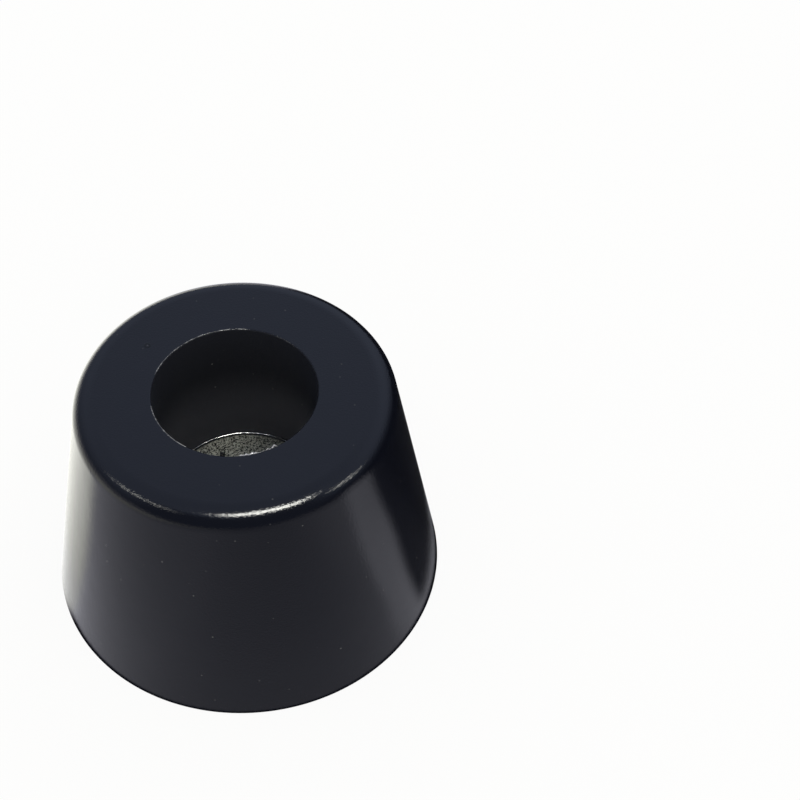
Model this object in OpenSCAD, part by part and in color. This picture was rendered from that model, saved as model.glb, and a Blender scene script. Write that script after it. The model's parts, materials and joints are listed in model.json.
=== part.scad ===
// Rubber foot for cabinets, cases and benches: a tapered round foot moulded
// in one shot around a steel washer. It is screwed on through the narrow end,
// so the screw head sinks into the mouth and bears on the washer.
// The wide face lies on z = 0 and the narrow end is at the top.

/* [Foot] */
// Diameter of the wide mounting face, where the side would meet its plane
base_d = 38; // [30:0.5:60]
// Diameter of the narrow end, where the side would meet its plane
rim_d = 29.6; // [24:0.1:38]
// Height from the wide face to the narrow end
foot_h = 25; // [20:0.5:50]
// Radius of the rounded shoulder round the narrow end
rim_round = 2.2; // [0.5:0.1:4]
// Radius of the edge round the wide face
base_round = 0.1; // [0.05:0.05:1.5]

/* [Mouth] */
// Diameter of the mouth that takes the screw head
mouth_d = 15.4; // [11:0.1:21]
// Depth from the narrow end down to the washer
mouth_depth = 15.1; // [6:0.1:20]
// Radius of the lip round the mouth
mouth_lip = 0.15; // [0.05:0.05:1]

/* [Screw hole] */
// Diameter of the hole through the washer and the rubber under it
screw_d = 7.5; // [3:0.1:10]
// Radius of the lip round the hole in the wide face
screw_lip = 0.25; // [0.1:0.05:0.8]

/* [Washer] */
// Thickness of the steel washer
washer_t = 1.6; // [0.8:0.1:3]
// How far the washer's edge reaches into the rubber past the mouth
washer_grip = 1.8; // [0.8:0.1:3.5]
// Radius of the washer's punched edge at its hole
washer_roll = 0.25; // [0.1:0.05:0.4]
// Gap round the washer's outer edge
washer_gap = 0.05; // [0.02:0.01:0.3]

/* [Hidden] */

$fn = 96;

base_r = base_d / 2;
rim_r = rim_d / 2;
mouth_r = mouth_d / 2;
screw_r = screw_d / 2;
washer_r = mouth_r + washer_grip;

// Heights of the washer's two faces
washer_top = foot_h - mouth_depth;
washer_bottom = washer_top - washer_t;

// Angle by which the side leans in from upright
lean = atan((base_r - rim_r) / foot_h);

// Centres of the two arcs that round the outline, each tangent to the side
rim_arc = [rim_r - rim_round * tan((90 - lean) / 2), foot_h - rim_round];
base_arc = [base_r - base_round * tan((90 + lean) / 2), base_round];

// Cuts run this far past the faces that they open
past = 1;

// The point at which an arc meets the leaning side
function on_side(centre, radius) = centre + radius * [cos(lean), sin(lean)];

// Half section of the outside: flat ends, a straight leaning side, round edges
module outline() {
    polygon([
        [0, 0],
        [base_arc.x, 0],
        on_side(base_arc, base_round),
        on_side(rim_arc, rim_round),
        [rim_arc.x, foot_h],
        [0, foot_h],
    ]);
    translate(base_arc) circle(base_round);
    translate(rim_arc) circle(rim_round);
}

// Half section of the material that a round lip takes off a bore's corner
module lip_cut(bore_r, lip) {
    difference() {
        translate([bore_r - past, 0]) square([past + lip, lip + past]);
        translate([bore_r + lip, 0]) circle(lip);
        translate([bore_r + lip, -past]) square([lip, 2 * past + lip]);
    }
}

// Half section of the mouth with its lip at the narrow end
module mouth() {
    translate([0, washer_top]) square([mouth_r, mouth_depth + past]);
    translate([0, foot_h - mouth_lip]) lip_cut(mouth_r, mouth_lip);
}

// Half section of the groove in which the washer's edge is held
module washer_seat() {
    translate([0, washer_bottom]) square([washer_r + washer_gap, washer_t]);
}

// Half section of the screw hole with its lip at the wide face
module screw_hole() {
    translate([0, -past]) square([screw_r, past + washer_top]);
    translate([0, screw_lip]) mirror([0, 1]) lip_cut(screw_r, screw_lip);
}

// The moulded rubber body
module rubber_body() {
    color("#26272c")
        rotate_extrude()
            difference() {
                outline();
                mouth();
                washer_seat();
                screw_hole();
            }
}

// The steel washer, its hole's upper edge rolled over by the punch
module steel_washer() {
    roll_arc = [screw_r + washer_roll, washer_top - washer_roll];
    color("#8f8e86")
        rotate_extrude() {
            polygon([
                [screw_r, washer_bottom],
                [washer_r, washer_bottom],
                [washer_r, washer_top],
                [roll_arc.x, washer_top],
                [screw_r, roll_arc.y],
            ]);
            translate(roll_arc) circle(washer_roll);
        }
}

rubber_body();
steel_washer();
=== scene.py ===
"""A moulded rubber foot that stands on its wide face, with a steel washer at the floor of its mouth."""

import json
import math

import bpy
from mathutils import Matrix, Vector


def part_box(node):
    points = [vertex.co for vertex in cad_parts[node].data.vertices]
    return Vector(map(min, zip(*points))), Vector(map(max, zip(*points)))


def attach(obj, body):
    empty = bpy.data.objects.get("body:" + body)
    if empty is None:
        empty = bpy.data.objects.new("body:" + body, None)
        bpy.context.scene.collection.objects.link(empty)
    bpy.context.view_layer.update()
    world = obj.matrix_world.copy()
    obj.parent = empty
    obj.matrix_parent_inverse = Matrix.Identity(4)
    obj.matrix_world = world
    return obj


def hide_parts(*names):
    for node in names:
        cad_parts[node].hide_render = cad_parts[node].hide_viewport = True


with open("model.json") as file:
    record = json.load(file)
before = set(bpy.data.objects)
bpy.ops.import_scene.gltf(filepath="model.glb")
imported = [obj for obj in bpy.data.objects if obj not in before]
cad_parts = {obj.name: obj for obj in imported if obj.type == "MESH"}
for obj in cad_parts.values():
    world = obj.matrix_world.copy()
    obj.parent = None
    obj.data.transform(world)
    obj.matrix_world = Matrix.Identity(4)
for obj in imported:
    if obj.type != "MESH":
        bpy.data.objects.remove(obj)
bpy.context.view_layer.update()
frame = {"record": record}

MM = 0.001


# Sizes of the foot, in metres

def mount(name):
    """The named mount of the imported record."""
    return next(m for m in frame["record"]["mounts"] if m["name"] == name)


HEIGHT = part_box("rubber_body")[1].z
MOUTH_RADIUS = mount("screw_head_mouth")["dims"]["r_mm"] * MM
SCREW_RADIUS = mount("screw_hole")["dims"]["r_mm"] * MM

WASHER_LOW, WASHER_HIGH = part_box("steel_washer")
WASHER_RADIUS = WASHER_HIGH.x
WASHER_TOP = WASHER_HIGH.z
WASHER_BOTTOM = WASHER_LOW.z
WASHER_GAP = 0.05 * MM
GROOVE_RADIUS = WASHER_RADIUS + WASHER_GAP

# Radii at which the leaning side would meet the planes of the two faces
BASE_RADIUS = 19.0 * MM
NARROW_RADIUS = 14.8 * MM

# Radii of the rounded edges
SHOULDER = 2.2 * MM
BASE_EDGE = 0.1 * MM
MOUTH_LIP = 0.15 * MM
SCREW_LIP = 0.25 * MM
WASHER_ROLL = 0.25 * MM

# Colours of the finishes and of painted light and shade, in linear light
RUBBER_BLACK = (0.0036, 0.0042, 0.0076, 1.0)
# Painted bounce light from the washer makes the mouth's wall paler low down
LOW_WALL_PAINTED_BOUNCE = (0.075, 0.076, 0.088, 1.0)
HIGH_WALL_BLACK = (0.011, 0.012, 0.0165, 1.0)
DUST_GREY = (0.16, 0.16, 0.15, 1.0)
# Painted shade on the pit's ring and painted light in its heart
PIT_RING_PAINTED_SHADE = (0.0, 0.0, 0.0, 1.0)
PIT_HEART_PAINTED_LIGHT = (0.03, 0.03, 0.035, 1.0)
STEEL_DARK = (0.012, 0.012, 0.01, 1.0)
STEEL_BRIGHT = (0.56, 0.545, 0.44, 1.0)
# Painted shadow on the washer round its edge, where the seal bead sits
SEAL_SHADOW_BLACK = (0.01, 0.01, 0.01, 1.0)

# Noise cells in a metre, for each grain
RUBBER_GRAIN = 5200.0
RUBBER_WAVE = 350.0
RUBBER_DUST = 700.0
FLASH_PATCHES = 2500.0
STEEL_GRAIN = 6800.0

# How far each part of the rubber's relief stands out, against the others
GRAIN_RELIEF = 3.6
WAVE_RELIEF = 3.0
PIT_RELIEF = 6.0

# Roughness of the moulded skin, and what the grain and the matte mouth add to it
SKIN_ROUGHNESS = 0.085
GRAIN_ROUGHNESS = 0.05
MOUTH_ROUGHNESS = 0.4

# One small pit on the narrow end, in millimetres: its centre, and where its ring and its heart fade; the
# ring is raised and darkened with painted shade, the heart lightened with painted light
PIT_X, PIT_Y = -8.58, 5.51
PIT_RING_RISE = (0.08, 0.2)
PIT_RING_FALL = (0.26, 0.36)
PIT_HEART_FALL = (0.04, 0.12)


# Node trees

class Wire:
    """One output socket of a tree; arithmetic on it adds Math nodes."""

    def __init__(self, tree, socket):
        self.tree = tree
        self.socket = socket

    def math(self, operation, *others):
        return self.tree.add("ShaderNodeMath", {"operation": operation}, [self, *others])

    def __add__(self, other):
        return self.math("ADD", other)

    def __radd__(self, other):
        return self.tree.add("ShaderNodeMath", {"operation": "ADD"}, [other, self])

    def __sub__(self, other):
        return self.math("SUBTRACT", other)

    def __rsub__(self, other):
        return self.tree.add("ShaderNodeMath", {"operation": "SUBTRACT"}, [other, self])

    def __mul__(self, other):
        return self.math("MULTIPLY", other)

    def __truediv__(self, other):
        return self.math("DIVIDE", other)

    def step(self, low, high):
        """0 below low, 1 above high, and a smooth rise between."""
        return self.tree.add(
            "ShaderNodeMapRange",
            {"interpolation_type": "SMOOTHSTEP"},
            {"Value": self, "From Min": low, "From Max": high},
        )

    def blend(self, low, high):
        """A colour between low, at 0, and high, at 1."""
        return self.tree.add("ShaderNodeMix", {"data_type": "RGBA"}, {0: self, 6: low, 7: high}, 2)

    def other(self, name):
        """Another output of the same node."""
        return Wire(self.tree, self.socket.node.outputs[name])


class Tree:
    """A node tree, with one method that adds any node."""

    def __init__(self, nodes):
        self.nodes = nodes.nodes
        self.links = nodes.links

    def add(self, kind, settings=(), sockets=(), out=0):
        """A new node, as the Wire of one of its outputs; its settings come before its sockets."""
        node = self.nodes.new(kind)
        for name, value in dict(settings).items():
            setattr(node, name, value)
        pairs = sockets.items() if isinstance(sockets, dict) else enumerate(sockets)
        for key, value in pairs:
            if isinstance(value, Wire):
                self.links.new(value.socket, node.inputs[key])
            else:
                node.inputs[key].default_value = value
        return Wire(self, node.outputs[out]) if node.outputs else node


def material(name):
    """A new material and its empty tree."""
    made = bpy.data.materials.new(name)
    made.use_nodes = True
    made.node_tree.nodes.clear()
    return made, Tree(made.node_tree)


def noise(tree, place, scale, detail):
    """Even noise from 0 to 1, with scale in cells per metre."""
    return tree.add("ShaderNodeTexNoise", {}, {"Vector": place, "Scale": scale, "Detail": detail})


def axis_distance(spot):
    """Distance from the foot's axis, in metres."""
    return (spot * spot + spot.other("Y") * spot.other("Y")).math("SQRT")


def bump(tree, strength, relief):
    """A bumped normal from a relief."""
    sockets = {"Strength": strength, "Distance": 0.05 * MM, "Height": relief}
    return tree.add("ShaderNodeBump", {}, sockets, "Normal")


def mouth_wall(spot):
    """Where the mouth's wall is, and its colour, which is paler towards the washer with painted bounce
    light from it.
    """
    height = spot.other("Z")
    inside = 1.0 - axis_distance(spot).step(MOUTH_RADIUS + 0.01 * MM, MOUTH_RADIUS + 0.05 * MM)
    inside = inside * height.step(WASHER_BOTTOM, WASHER_TOP - 1.0 * MM)
    # The wall grows paler towards the washer: painted bounce light
    rise = height.step(WASHER_TOP + 2.5 * MM, WASHER_TOP + 10 * MM)
    return inside, rise.blend(LOW_WALL_PAINTED_BOUNCE, HIGH_WALL_BLACK)


def lying_dust(tree, place, height):
    """Small specks of dust, each of its own paleness, and fainter on the narrow end."""
    cells = tree.add("ShaderNodeTexVoronoi", {}, {"Vector": place, "Scale": RUBBER_DUST}, "Distance")
    paleness = tree.add("ShaderNodeSeparateColor", {}, [cells.other("Color")])
    specks = 1.0 - cells.step(0.03, 0.08)
    faintness = 1.0 - height.step(HEIGHT - 3 * MM, HEIGHT - 1 * MM) * 0.7
    return specks * paleness * paleness * paleness * faintness


def top_pit(spot):
    """The raised ring and the heart of one small pit on the narrow end, where the ring gets painted shade
    and the heart painted light.
    """
    across = spot / MM - PIT_X
    along = spot.other("Y") / MM - PIT_Y
    reach = (across * across + along * along).math("SQRT")
    level = spot.other("Z").step(HEIGHT - 0.1 * MM, HEIGHT - 0.05 * MM)
    ring = (reach.step(*PIT_RING_RISE) - reach.step(*PIT_RING_FALL)) * level
    heart = (1.0 - reach.step(*PIT_HEART_FALL)) * level
    return ring, heart


def black_rubber():
    """Black moulded rubber: satin outside with fine grain and pale dust, matte inside the mouth, paler
    near the washer with painted bounce light, and with painted shade and light on one small pit.
    """
    made, tree = material("black_rubber")
    place = tree.add("ShaderNodeTexCoord", out="Object")
    spot = tree.add("ShaderNodeSeparateXYZ", {}, [place])
    inside, wall = mouth_wall(spot)
    ring, heart = top_pit(spot)
    # Inside the mouth, the wall's colour holds painted bounce light from the washer
    skin = inside.blend(RUBBER_BLACK, wall)
    # Painted shade on the pit's ring and painted light in its heart
    skin = heart.blend(ring.blend(skin, PIT_RING_PAINTED_SHADE), PIT_HEART_PAINTED_LIGHT)
    dust = lying_dust(tree, place, spot.other("Z"))
    grain = noise(tree, place, RUBBER_GRAIN, 2.0)
    wave = noise(tree, place, RUBBER_WAVE, 2.0)
    relief = grain * GRAIN_RELIEF + wave * WAVE_RELIEF + ring * PIT_RELIEF
    surface = tree.add(
        "ShaderNodeBsdfPrincipled",
        {},
        {
            "Base Color": dust.blend(skin, DUST_GREY),
            "Roughness": SKIN_ROUGHNESS + grain * GRAIN_ROUGHNESS + inside * MOUTH_ROUGHNESS,
            "Specular IOR Level": 0.131,
            "Normal": bump(tree, 0.12, relief),
        },
    )
    tree.add("ShaderNodeOutputMaterial", {}, {"Surface": surface})
    return made


def flash_rubber(name, dull, pale, specular):
    """The same rubber as thin flash, in patches from a dull tone to a pale one; on the edge flash and the
    torn flash the pale tone is a painted highlight.
    """
    made, tree = material(name)
    place = tree.add("ShaderNodeTexCoord", out="Object")
    # Patches of the pale tone, which on the edge flash and the torn flash is a painted highlight
    sheen_patches = noise(tree, place, FLASH_PATCHES, 2.0).step(0.35, 0.65)
    surface = tree.add(
        "ShaderNodeBsdfPrincipled",
        {},
        {
            "Base Color": sheen_patches.blend((dull, dull, dull * 1.1, 1.0), (pale, pale, pale, 1.0)),
            "Roughness": 0.12 + sheen_patches * 0.12,
            "Specular IOR Level": specular,
        },
    )
    tree.add("ShaderNodeOutputMaterial", {}, {"Surface": surface})
    return made


def washer_steel():
    """Dull plated steel: coarse grains, darker to the right with painted shade, and a painted shadow round
    its edge where the seal bead sits.
    """
    made, tree = material("washer_steel")
    place = tree.add("ShaderNodeTexCoord", out="Object")
    spot = tree.add("ShaderNodeSeparateXYZ", {}, [place])
    grain = noise(tree, place, STEEL_GRAIN, 3.0)
    # Painted shade: the grains grow darker towards the right
    painted_shade = spot.step(-3 * MM, 4.5 * MM) * 0.52
    speckle = grain.step(0.36, 0.62) * (1.0 - painted_shade)
    # Painted shadow on the washer by the wall, where the seal bead sits: dark and not metallic
    near_wall = axis_distance(spot).step(MOUTH_RADIUS - 0.5 * MM, MOUTH_RADIUS - 0.36 * MM)
    seal_shadow = near_wall * spot.other("Z").step(WASHER_TOP - 0.9 * MM, WASHER_TOP - 0.4 * MM)
    surface = tree.add(
        "ShaderNodeBsdfPrincipled",
        {},
        {
            "Base Color": seal_shadow.blend(speckle.blend(STEEL_DARK, STEEL_BRIGHT), SEAL_SHADOW_BLACK),
            "Metallic": 1.0 - seal_shadow,
            "Roughness": 0.5 + grain * 0.2,
            "Normal": bump(tree, 0.6, grain),
        },
    )
    tree.add("ShaderNodeOutputMaterial", {}, {"Surface": surface})
    return made


# Sections and their turning

def corners(*points):
    """Half-section corners as (radius, height, rounding), with a point close to each rounding's ends."""
    near = 0.06 * MM
    count = len(points)
    drawn = []
    for k, (x, z, rounding) in enumerate(points):
        here = Vector((x, z))
        before = Vector(points[k - 1][:2]) - here
        after = Vector(points[(k + 1) % count][:2]) - here
        turn = math.pi - before.angle(after)
        reach = rounding * math.tan(turn / 2) + near
        drawn.append((*(here + before.normalized() * reach), 0))
        drawn.append((*here, rounding))
        drawn.append((*(here + after.normalized() * reach), 0))
    return drawn


def section(name, points):
    """The half section as a closed curve in the XZ plane, with its roundings as the points' radius."""
    curve = bpy.data.curves.new(name, "CURVE")
    curve.dimensions = "3D"
    line = curve.splines.new("POLY")
    line.points.add(len(points) - 1)
    for spot, (x, z, rounding) in zip(line.points, points):
        spot.co = (x, 0, z, 1)
        spot.radius = rounding / MM
    line.use_cyclic_u = True
    made = bpy.data.objects.new(name, curve)
    bpy.context.scene.collection.objects.link(made)
    return made


def unit_grid(tree, columns, rows):
    """A square sheet of so many faces each way, and how far along and up it each point is, from 0 to 1."""
    grid = tree.add(
        "GeometryNodeMeshGrid",
        {},
        {"Size X": 1.0, "Size Y": 1.0, "Vertices X": columns + 1, "Vertices Y": rows + 1},
    )
    spot = tree.add("ShaderNodeSeparateXYZ", {}, [tree.add("GeometryNodeInputPosition")])
    return grid, spot + 0.5, spot.other("Y") + 0.5


def round_the_axis(tree, radius, angle, height):
    """A place at an angle about the Z axis, where 0 is in front and a quarter turn is on the right."""
    return tree.add(
        "ShaderNodeCombineXYZ",
        {},
        {"X": radius * angle.math("SINE"), "Y": 0.0 - radius * angle.math("COSINE"), "Z": height},
    )


def finish_sheet(tree, grid, place, weld, finish):
    """The sheet set to its place, welded where it meets itself, smoothed and given its finish."""
    bent = tree.add("GeometryNodeSetPosition", {}, {"Geometry": grid, "Position": place})
    closed = tree.add("GeometryNodeMergeByDistance", {}, {"Geometry": bent, "Distance": weld})
    smooth = tree.add("GeometryNodeSetShadeSmooth", {}, {"Geometry": closed})
    real = tree.add("GeometryNodeRealizeInstances", {}, [smooth])
    done = tree.add("GeometryNodeSetMaterial", {}, {"Geometry": real, "Material": finish})
    tree.add("NodeGroupOutput", {}, {"Piece": done})


def group_inputs(face, kind, defaults):
    """Named inputs of one kind, with their defaults."""
    for name, value in defaults.items():
        face.new_socket(name, in_out="INPUT", socket_type=kind).default_value = value


def turning_tree():
    """Geometry Nodes that round a half section's corners and turn it about the Z axis."""
    group = bpy.data.node_groups.new("turned", "GeometryNodeTree")
    face = group.interface
    face.new_socket("Section", in_out="INPUT", socket_type="NodeSocketGeometry")
    group_inputs(face, "NodeSocketInt", {"Turns": 480, "Arc steps": 10, "Cuts": 1})
    face.new_socket("Finish", in_out="INPUT", socket_type="NodeSocketMaterial")
    face.new_socket("Piece", in_out="OUTPUT", socket_type="NodeSocketGeometry")
    tree = Tree(group)
    given = tree.add("NodeGroupInput")
    rounding = tree.add("GeometryNodeInputRadius") * MM
    rounded = tree.add(
        "GeometryNodeFilletCurve",
        {"mode": "POLY"},
        {"Curve": given.other("Section"), "Count": given.other("Arc steps"), "Radius": rounding},
    )
    line = tree.add("GeometryNodeSubdivideCurve", {}, {"Curve": rounded, "Cuts": given.other("Cuts")})
    size = tree.add("GeometryNodeAttributeDomainSize", {"component": "CURVE"}, [line], "Point Count")
    grid, turned_share, line_share = unit_grid(tree, given.other("Turns"), size)
    sampled = tree.add(
        "GeometryNodeSampleIndex",
        {"data_type": "FLOAT_VECTOR", "domain": "POINT"},
        {
            "Geometry": line,
            "Value": tree.add("GeometryNodeInputPosition"),
            "Index": (line_share * size).math("ROUND").math("MODULO", size),
        },
    )
    drawn = tree.add("ShaderNodeSeparateXYZ", {}, [sampled])
    place = round_the_axis(tree, drawn, turned_share * math.tau, drawn.other("Z"))
    finish_sheet(tree, grid, place, 0.0005 * MM, given.other("Finish"))
    return group


def grown(name, source, group, inputs):
    """The plain mesh that a tree of Geometry Nodes makes on a source object, which it uses up."""
    maker = source.modifiers.new(group.name, "NODES")
    maker.node_group = group
    for item in group.interface.items_tree:
        if item.in_out == "INPUT" and item.name in inputs:
            maker[item.identifier] = inputs[item.name]
    mesh = bpy.data.meshes.new_from_object(source.evaluated_get(bpy.context.evaluated_depsgraph_get()))
    bpy.data.objects.remove(source)
    mesh.name = name
    made = bpy.data.objects.new(name, mesh)
    bpy.context.scene.collection.objects.link(made)
    return made


def turned(name, points, finish):
    """A closed solid of revolution from a half section's corners."""
    return grown(name, section(name + "_section", points), TURNING, {"Finish": finish})


def flash_tree():
    """Geometry Nodes for a thin ragged bead along an arc about the Z axis, in millimetres and degrees."""
    group = bpy.data.node_groups.new("flash", "GeometryNodeTree")
    face = group.interface
    group_inputs(face, "NodeSocketFloat", {
        "Radius": 7.7,
        "Height": 25.0,
        "Thickness": 0.05,
        "Start": 0.0,
        "End": 90.0,
        "Waver": 0.02,
        "Pitch": 0.4,
        "Gaps": 0.0,
        "Seed": 0.0,
    })
    group_inputs(face, "NodeSocketInt", {"Steps": 400, "Sides": 8})
    face.new_socket("Finish", in_out="INPUT", socket_type="NodeSocketMaterial")
    face.new_socket("Piece", in_out="OUTPUT", socket_type="NodeSocketGeometry")
    tree = Tree(group)
    given = tree.add("NodeGroupInput")
    grid, along, around = unit_grid(tree, given.other("Steps"), given.other("Sides"))
    around = around * math.tau
    sweep = given.other("End") - given.other("Start")
    angle = (given.other("Start") + sweep * along) * math.radians(1)
    walk = angle * given.other("Radius") / given.other("Pitch") + given.other("Seed")

    def ragged(lane, stretch=1.0):
        """Even noise from 0 to 1 along the arc; each lane has a pattern of its own."""
        place = walk / stretch + lane
        return tree.add("ShaderNodeTexNoise", {"noise_dimensions": "1D"}, {"W": place, "Scale": 1.0})

    waver_lane, thickness_lane, gap_lane = 0.0, 30.0, 70.0

    # A thirtieth of the bead's length tapers off at each end
    taper = 30.0
    ends = (along.math("MINIMUM", 1.0 - along) * taper).math("MINIMUM", 1.0).math("POWER", 0.5)
    kept = 1.0 - given.other("Gaps") * (1.0 - ragged(gap_lane, 3.0).step(0.42, 0.5))
    thick = given.other("Thickness") * ends * kept * (0.4 + ragged(thickness_lane) * 1.2)
    radius = given.other("Radius") + given.other("Waver") * (ragged(waver_lane) - 0.5) * 4.0
    out = (radius + thick * around.math("COSINE")) * MM
    up = (given.other("Height") + thick * around.math("SINE")) * MM
    finish_sheet(tree, grid, round_the_axis(tree, out, angle, up), 0.0003 * MM, given.other("Finish"))
    return group


def flash(name, finish, **inputs):
    """A thin bead of moulding flash that belongs to the rubber; its inputs are the flash tree's."""
    source = bpy.data.objects.new(name + "_source", bpy.data.meshes.new(name + "_source"))
    bpy.context.scene.collection.objects.link(source)
    sizes = {key.capitalize(): value for key, value in inputs.items()}
    made = grown(name, source, FLASH, {"Finish": finish, **sizes})
    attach(made, "root")
    return made


TURNING = turning_tree()
FLASH = flash_tree()
RUBBER = black_rubber()
# The edge flash and the torn flash are paler than the rubber: painted highlights
FLASH_HIGHLIGHT = flash_rubber("flash_painted_highlight", 0.05, 0.22, 0.2)
TORN_HIGHLIGHT = flash_rubber("torn_rubber_painted_highlight", 0.12, 0.6, 0.3)
# Painted shade: the nib's rubber reflects far less than the body's, so it shows as a dark dot at the lip
NIB_PAINTED_SHADE = flash_rubber("nib_painted_shade", 0.002, 0.004, 0.03)
SEALING = flash_rubber("sealing_rubber", 0.01, 0.03, 1.0)
STEEL = washer_steel()

body = turned(
    "moulded_body",
    corners(
        (SCREW_RADIUS, 0, SCREW_LIP),
        (BASE_RADIUS, 0, BASE_EDGE),
        (NARROW_RADIUS, HEIGHT, SHOULDER),
        (MOUTH_RADIUS, HEIGHT, MOUTH_LIP),
        (MOUTH_RADIUS, WASHER_TOP, 0),
        (GROOVE_RADIUS, WASHER_TOP, 0),
        (GROOVE_RADIUS, WASHER_BOTTOM, 0),
        (SCREW_RADIUS, WASHER_BOTTOM, 0),
    ),
    RUBBER,
)
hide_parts("rubber_body")
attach(body, "root")

washer = turned(
    "punched_washer",
    corners(
        (SCREW_RADIUS, WASHER_BOTTOM, 0),
        (WASHER_RADIUS, WASHER_BOTTOM, 0),
        (WASHER_RADIUS, WASHER_TOP, 0),
        (SCREW_RADIUS, WASHER_TOP, WASHER_ROLL),
    ),
    STEEL,
)
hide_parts("steel_washer")
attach(washer, "root")

# Flash round the mouth's edge and on the washer; angle 0 is in front and 90 on the right
TOP = HEIGHT / MM
EDGE = MOUTH_RADIUS / MM
SEAT = WASHER_TOP / MM
flashes = [
    flash("mouth_flash_left", FLASH_HIGHLIGHT, radius=EDGE + 0.07, height=TOP - 0.015, thickness=0.045,
          start=-76.0, end=-30.0, waver=0.006, seed=1.0),
    flash("mouth_flash_far", FLASH_HIGHLIGHT, radius=EDGE + 0.07, height=TOP - 0.015, thickness=0.05,
          start=-186.0, end=-104.0, waver=0.01, gaps=0.5, seed=2.0),
    flash("mouth_flash_right", RUBBER, radius=EDGE + 0.08, height=TOP - 0.015, thickness=0.03,
          start=46.0, end=134.0, waver=0.01, gaps=0.9, seed=3.0),
    flash("torn_flash", TORN_HIGHLIGHT, radius=EDGE - 0.06, height=TOP - 0.09, thickness=0.085,
          start=7.0, end=34.0, waver=0.14, pitch=0.5, gaps=0.8, seed=4.0),
    flash("mouth_nib", NIB_PAINTED_SHADE, radius=EDGE - 0.26, height=TOP - 0.26, thickness=0.36,
          start=-6.0, end=-2.8, waver=0.0, seed=5.0, steps=40, sides=12),
    flash("washer_seal", SEALING, radius=EDGE - 0.22, height=SEAT + 0.1, thickness=0.12,
          start=-201.0, end=159.0, waver=0.008, pitch=1.5, seed=6.0, steps=720, sides=14),
]


# Floor, as the foot's side mirrors it, with painted light and shade: lines in millimetres, and shares of
# its plain brightness

FLOOR_WHITE = (1.0, 1.0, 0.995, 1.0)
FLOOR_DULL = (0.86, 0.86, 0.85, 1.0)
COOL_TINT = (0.985, 0.985, 1.09, 1.0)
WARM_TINT = (1.0, 1.0, 0.93, 1.0)

# Share of plain white in what straight rays see of the floor; the rest is lit, and keeps the shadow
FLOOR_GLOW = 0.92

# Lines across the floor: a point on each, its slope, and where and by how much it turns
LEFT_LINE = {"through": (-19.4, -7.3), "slope": -0.33}
RIGHT_SHADE_LINE = {"through": (21.0, -5.4), "slope": 0.31, "bend": 31.0, "turn": -0.47}
FRONT_LINE = {"through": (22.5, -10.8), "slope": 0.0, "bend": 22.5, "turn": -0.43}

# Painted shades take away from the floor's brightness in reflections and painted lifts of light add to it;
# the right rises by the millimetre
RIGHT_SHADE = 0.91
FRONT_SHADE = 0.2
FAR_LEFT_SHADE = 0.12
LEFT_EDGE_LIFT = 0.4
LEFT_FAR_LIFT = 1.18
LEFT_WIDE_LIFT = 1.1
LEFT_FRONT_LIFT = 0.13
NEAR_LIFT = 0.07
RIGHT_RISE = 0.07
RIGHT_DROP = -12.0

# Distances to the left over which the wide light dies away
LEFT_DYING = (60, 150)


def floor_line(x, through, slope, bend=0.0, turn=0.0):
    """The y of a line across the floor at x."""
    return (x - through[0]) * slope + through[1] + (x - bend).math("MAXIMUM", 0.0) * turn


def left_light(x, y):
    """What the painted light from the left adds: a near part behind a line, and a wide part beyond it."""
    leftwards = 0.0 - x
    near = (y - floor_line(x, **LEFT_LINE)).step(-1.6, 0.8) * leftwards.step(17, 18)
    near = near * (LEFT_EDGE_LIFT + leftwards.step(19, 37) * LEFT_FAR_LIFT)
    wide = leftwards.step(38, 72) * LEFT_WIDE_LIFT
    return near.math("MAXIMUM", wide) * (1.0 - leftwards.step(*LEFT_DYING))


def painted_right_shade(x, y, out):
    """Painted shade on the floor at the right, as if behind an upright flag there, and far away at the
    right.
    """
    behind = (y - floor_line(x, **RIGHT_SHADE_LINE)).step(-1.2, 1.2)
    right_shaded = behind * out.step(19.1, 20.7) * x.step(0, 10) * RIGHT_SHADE
    far = out.step(80, 220) * (x - y).step(-60, 40) * (0.4 + (x + y).step(0, 50) * 0.4)
    return right_shaded.math("MAXIMUM", far)


def mirrored_floor(tree):
    """The floor's brightness and tint in reflections, and where the foot covers it. Its painted light and
    shade make it brighter from the left, shaded towards the front right and dark on the right, with a
    painted contact shadow in a thin line at the foot."""
    spot = tree.add("ShaderNodeSeparateXYZ", {}, [tree.add("ShaderNodeTexCoord", out="Object")])
    x = spot / MM
    y = spot.other("Y") / MM
    out = axis_distance(spot) / MM
    leftwards = 0.0 - x
    left = left_light(x, y)
    front = (floor_line(x, **FRONT_LINE) - y).step(-1.5, 1.5)
    before_right_shade = (floor_line(x, **RIGHT_SHADE_LINE) - y - 2.1).math("MAXIMUM", RIGHT_DROP)
    right = x.step(14, 20) * (1.0 - front) * before_right_shade * RIGHT_RISE
    shade = front * x.step(-15, 22) * (1.0 - x.step(24, 38)) * FRONT_SHADE
    lift = leftwards.step(2, 16) * LEFT_FRONT_LIFT + (1.0 - out.step(22, 34)) * NEAR_LIFT
    # Painted light and shade of the floor, as the foot's side mirrors it
    level = (1.0 + left + right + lift - shade) * (1.0 - painted_right_shade(x, y, out))
    # Painted contact shadow: a thin dark line on the floor round the foot, in reflections
    clear_of_foot = out.step(19.25, 19.5).math("MAXIMUM", leftwards.step(16.8, 18.6))
    level = level * clear_of_foot * (1.0 - leftwards.step(*LEFT_DYING) * FAR_LEFT_SHADE)
    covered = 1.0 - axis_distance(spot).step(0.5 * BASE_RADIUS, 0.9 * BASE_RADIUS)
    return level, left.step(0.05, 0.6).blend(COOL_TINT, WARM_TINT), covered


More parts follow.
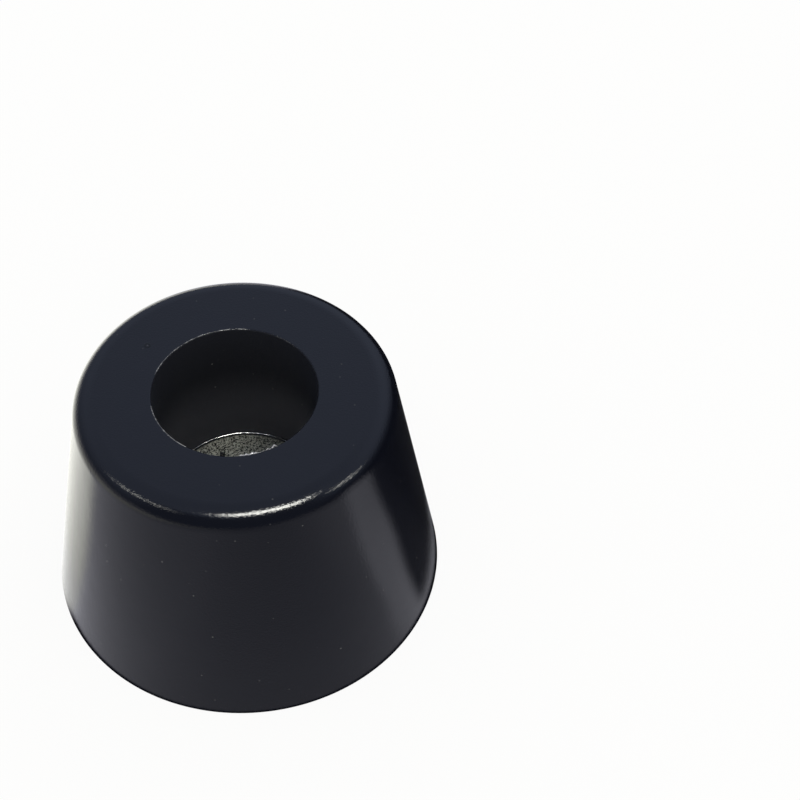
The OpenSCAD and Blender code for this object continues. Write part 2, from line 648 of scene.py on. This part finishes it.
def pale_floor():
    """A white floor; straight rays still see part of the foot's shadow on it."""
    made, tree = material("pale_floor")
    path = tree.add("ShaderNodeLightPath")
    mirrored = path.other("Is Glossy Ray").math("MAXIMUM", path.other("Is Transmission Ray"))
    level, tint, covered = mirrored_floor(tree)
    white = mirrored.math("MAXIMUM", path.other("Is Camera Ray") * FLOOR_GLOW) * (1.0 - covered)
    strength = 1.0 + mirrored * (level - 1.0)
    lit = tree.add("ShaderNodeBsdfDiffuse", {}, {"Color": FLOOR_DULL})
    colour = mirrored.blend(FLOOR_WHITE, tint)
    plain = tree.add("ShaderNodeEmission", {}, {"Color": colour, "Strength": strength})
    mixed = tree.add("ShaderNodeMixShader", {}, [white, lit, plain])
    tree.add("ShaderNodeOutputMaterial", {}, {"Surface": mixed})
    return made


# Light tent and lamps

FLOOR_SPAN = 3.0
FLOOR_DROP = 0.02 * MM
TENT_RADIUS = 1.5
LAMP_DISTANCE = 0.6

TENT_BLUE = (0.87, 1.0, 1.33, 1.0)
LAMP_WHITE = (1.0, 0.995, 0.93, 1.0)

# Strength of the tent's cloth at the floor, what it gains higher up, and that of its opening
CLOTH_LOW = 0.45
CLOTH_RISE = 0.9
OPENING_GLOW = 0.28

# Points along each lamp, as azimuth, elevation and width in degrees; azimuth 0 is in front
FRONT_LAMP = [
    (-24, 60, 0.8),
    (-9, 61, 1.5),
    (-5, 61, 8),
    (0, 61.5, 11),
    (20, 62, 12),
    (38, 60, 12),
    (50, 57, 11),
    (55, 56, 7),
    (58, 55, 1),
]
LEFT_LAMP = [
    (-82, 27, 2),
    (-74, 33.5, 3.4),
    (-67, 36.5, 4.4),
    (-58, 39.5, 3.4),
    (-49, 41, 2.4),
    (-44, 37.5, 1.3),
]
RIGHT_LAMP = [
    (69, 35, 0.6),
    (72, 32.5, 1.6),
    (77, 29, 1.5),
    (81, 25.5, 1.1),
    (85, 22, 0.6),
]


def glow(name, strength):
    """A lamp's plain glowing finish."""
    made, tree = material(name)
    shine = tree.add("ShaderNodeEmission", {}, {"Color": LAMP_WHITE, "Strength": strength})
    tree.add("ShaderNodeOutputMaterial", {}, {"Surface": shine})
    return made


def tent_cloth():
    """Cool glowing cloth, dimmer towards the floor, with a dark opening at the front."""
    made, tree = material("tent_cloth")
    spot = tree.add("ShaderNodeSeparateXYZ", {}, [tree.add("ShaderNodeTexCoord", out="Object")])
    x = spot / TENT_RADIUS
    y = spot.other("Y") / TENT_RADIUS
    z = spot.other("Z") / TENT_RADIUS
    level = CLOTH_LOW + z.step(0.0, 0.75) * CLOTH_RISE
    back_right = (x * 0.8 + y * 0.6).step(0.2, 0.95) * 0.25 + 1.0
    low_right = x.step(0.5, 0.9) * (1.0 - z.step(0.1, 0.4)) * 0.65
    facing = (0.0 - y) / (x * x + y * y).math("SQRT")
    opening = facing.step(0.30, 0.70) * (1.0 - z.step(0.72, 0.80))
    strength = level * back_right * (1.0 - opening) * (1.0 - low_right) + opening * OPENING_GLOW
    cloth = tree.add("ShaderNodeEmission", {}, {"Color": TENT_BLUE, "Strength": strength})
    tree.add("ShaderNodeOutputMaterial", {}, {"Surface": cloth})
    return made


def stage_piece(name, points, faces, finish):
    """A piece of the studio, seen in reflections alone unless it is the floor."""
    mesh = bpy.data.meshes.new(name)
    mesh.from_pydata(points, [], faces)
    mesh.materials.append(finish)
    made = bpy.data.objects.new(name, mesh)
    bpy.context.scene.collection.objects.link(made)
    if name != "floor":
        made.visible_camera = False
        made.visible_diffuse = False
        made.visible_shadow = False
        made.visible_transmission = False
    return made


def studio_floor():
    """A level square, a hair below the foot's wide face."""
    signs = ((-1, -1), (1, -1), (1, 1), (-1, 1))
    points = [(FLOOR_SPAN * across, FLOOR_SPAN * along, -FLOOR_DROP) for across, along in signs]
    return stage_piece("floor", points, [(0, 1, 2, 3)], pale_floor())


def aimed(azimuth, elevation):
    """A point at the lamps' distance from the foot's narrow end; azimuth 90 is on the right."""
    a = math.radians(azimuth)
    e = math.radians(elevation)
    flat = LAMP_DISTANCE * math.cos(e)
    return (flat * math.sin(a), -flat * math.cos(a), LAMP_DISTANCE * math.sin(e) + HEIGHT)


def light_tent():
    """A dome round the foot, as a grid of quads."""
    turns, rings = 96, 32
    points = []
    for k in range(rings + 1):
        rise = math.pi / 2 * k / rings
        for j in range(turns):
            a = math.tau * j / turns
            flat = TENT_RADIUS * math.cos(rise)
            points.append((flat * math.sin(a), -flat * math.cos(a), TENT_RADIUS * math.sin(rise)))
    faces = []
    for low in range(0, rings * turns, turns):
        for j in range(turns):
            after = (j + 1) % turns
            faces.append((low + j, low + turns + j, low + turns + after, low + after))
    return stage_piece("light_tent", points, faces, tent_cloth())


def ribbon_lamp(name, path, strength):
    """A curved strip lamp along a path of directions, which lights the rubber alone."""
    points, faces = [], []
    for k, (azimuth, elevation, width) in enumerate(path):
        points.append(aimed(azimuth, elevation - width / 2))
        points.append(aimed(azimuth, elevation + width / 2))
        if k:
            faces.append((2 * k - 2, 2 * k, 2 * k + 1, 2 * k - 1))
    lamp = stage_piece(name, points, faces, glow(name, strength))
    lamp.light_linking.receiver_collection = LIT_RUBBER


LIT_RUBBER = bpy.data.collections.new("lit_rubber")
for piece in (body, *flashes):
    LIT_RUBBER.objects.link(piece)

studio_floor()
light_tent()
ribbon_lamp("front_lamp", FRONT_LAMP, 105)
ribbon_lamp("left_lamp", LEFT_LAMP, 27)
ribbon_lamp("right_lamp", RIGHT_LAMP, 130)

world = bpy.data.worlds.new("studio")
bpy.context.scene.world = world
world.use_nodes = True
world.node_tree.nodes.clear()
sky = Tree(world.node_tree)
light = sky.add("ShaderNodeBackground", {}, {"Color": (1, 1, 1, 1), "Strength": 1.0})
sky.add("ShaderNodeOutputWorld", {}, {"Surface": light})


# Camera

CAMERA_PLACE = Vector((17.43, -120.95, 164.54)) * MM
CAMERA_AIM = Vector((14.84, 20.71, 0.0)) * MM
lens = bpy.data.cameras.new("camera")
lens.sensor_width = 36
lens.lens = 90.43
lens.clip_start = 0.005
camera = bpy.data.objects.new("camera", lens)
camera.location = CAMERA_PLACE
camera.rotation_mode = "QUATERNION"
camera.rotation_quaternion = (CAMERA_AIM - CAMERA_PLACE).to_track_quat("-Z", "Y")
bpy.context.scene.collection.objects.link(camera)
bpy.context.scene.camera = camera

bpy.context.scene.view_settings.view_transform = "Standard"
